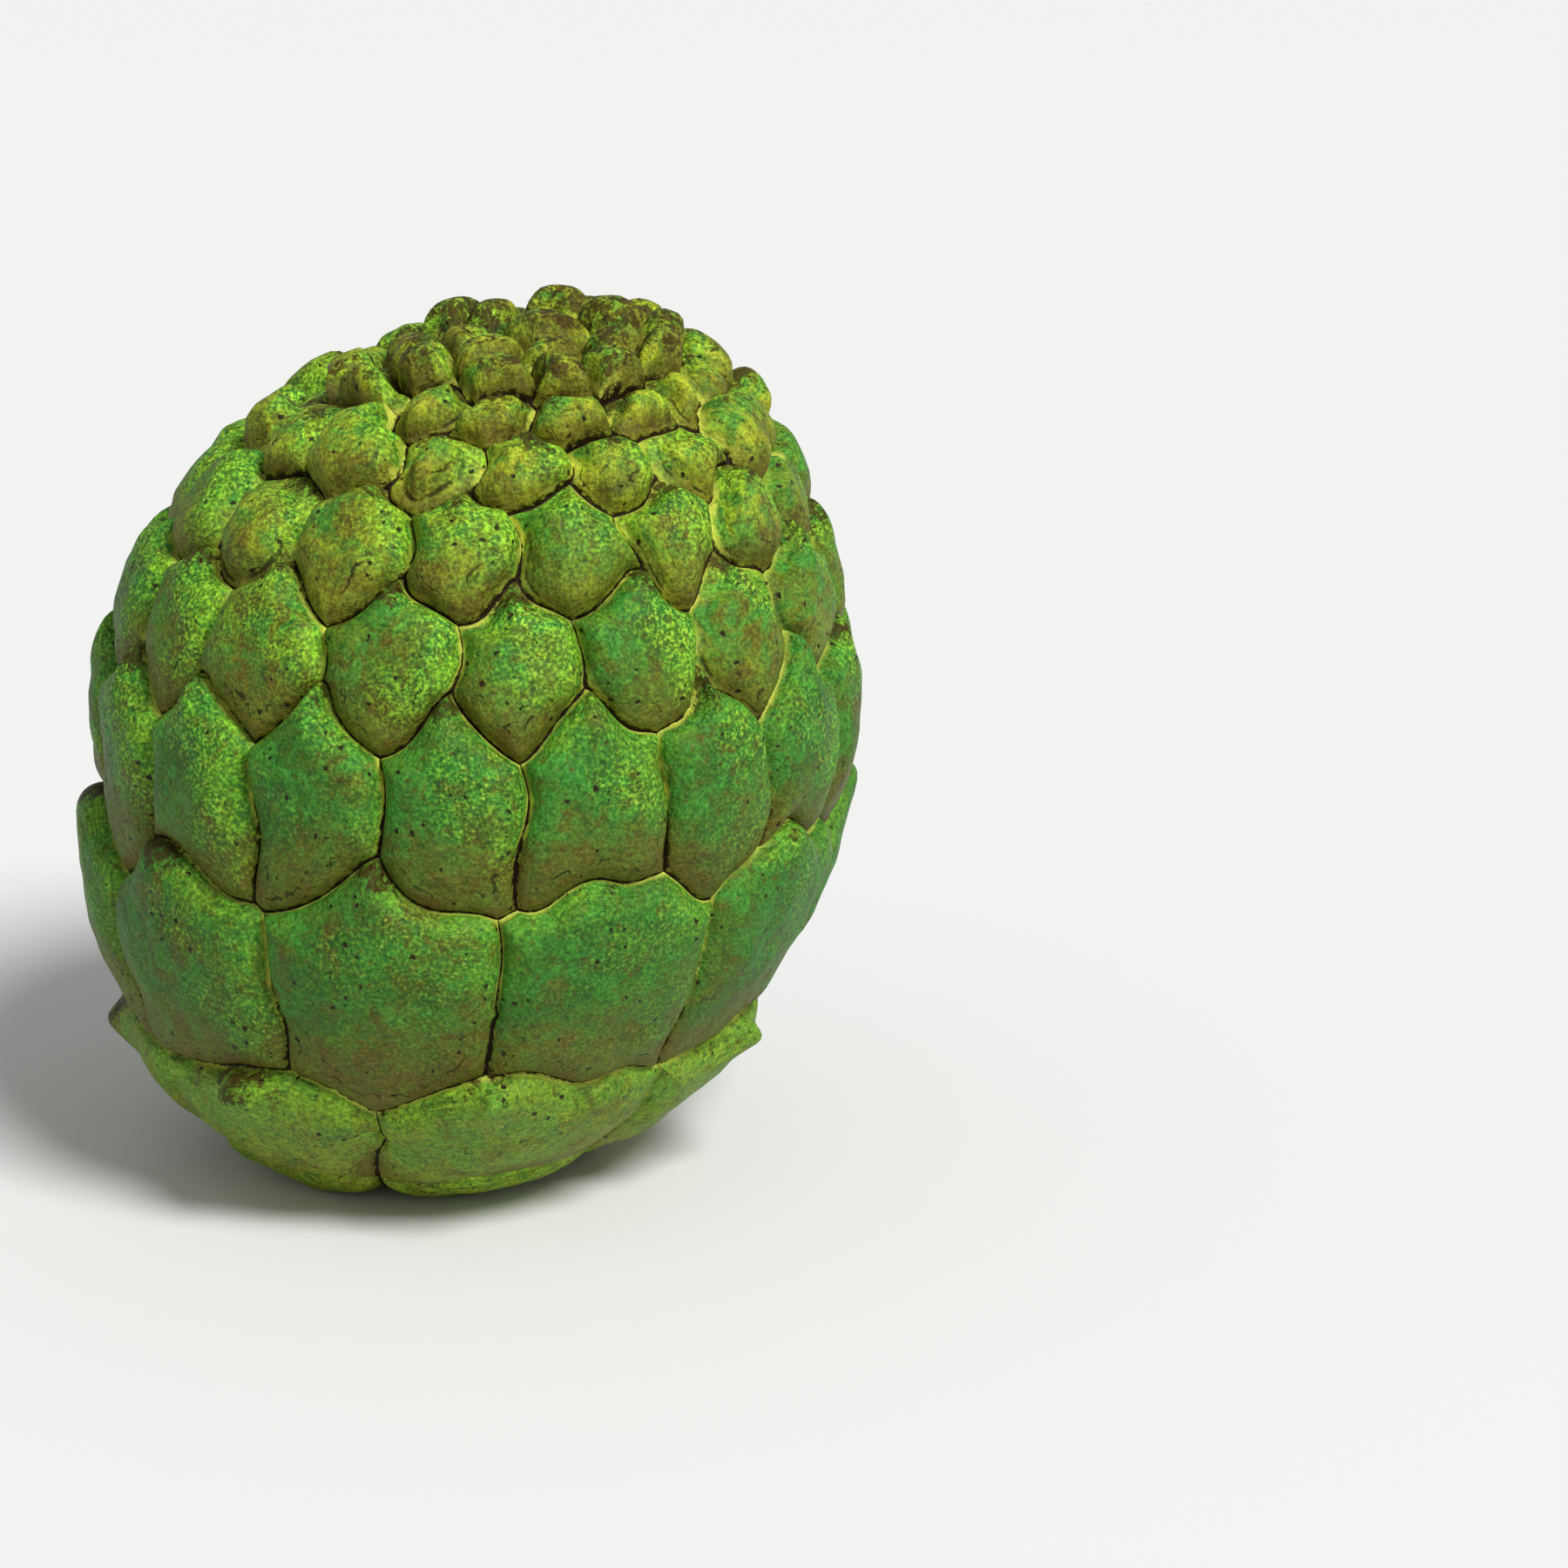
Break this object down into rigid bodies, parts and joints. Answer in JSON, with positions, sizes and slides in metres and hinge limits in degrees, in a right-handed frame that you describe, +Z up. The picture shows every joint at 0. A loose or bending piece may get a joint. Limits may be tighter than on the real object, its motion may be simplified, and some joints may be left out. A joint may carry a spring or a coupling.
{
  "type": "custard apple",
  "caption": "Whole green custard apple, a tapering round fruit with large raised scales low down and small knobs at its tip, resting on its stem end.",
  "frame": {"origin": "on the surface that the fruit stands on, under the middle of its outline", "axes": "+Z up from the stem end to the tip, -Y towards the picture's camera, +X to the right, the side the tip drifts to"},
  "size_m": [0.0972, 0.0975, 0.1084],
  "materials": {
    "skin": "satin, green with brown mottling"
  },
  "bodies": {
    "root": {"custard_apple": "skin"}
  },
  "joints": []
}
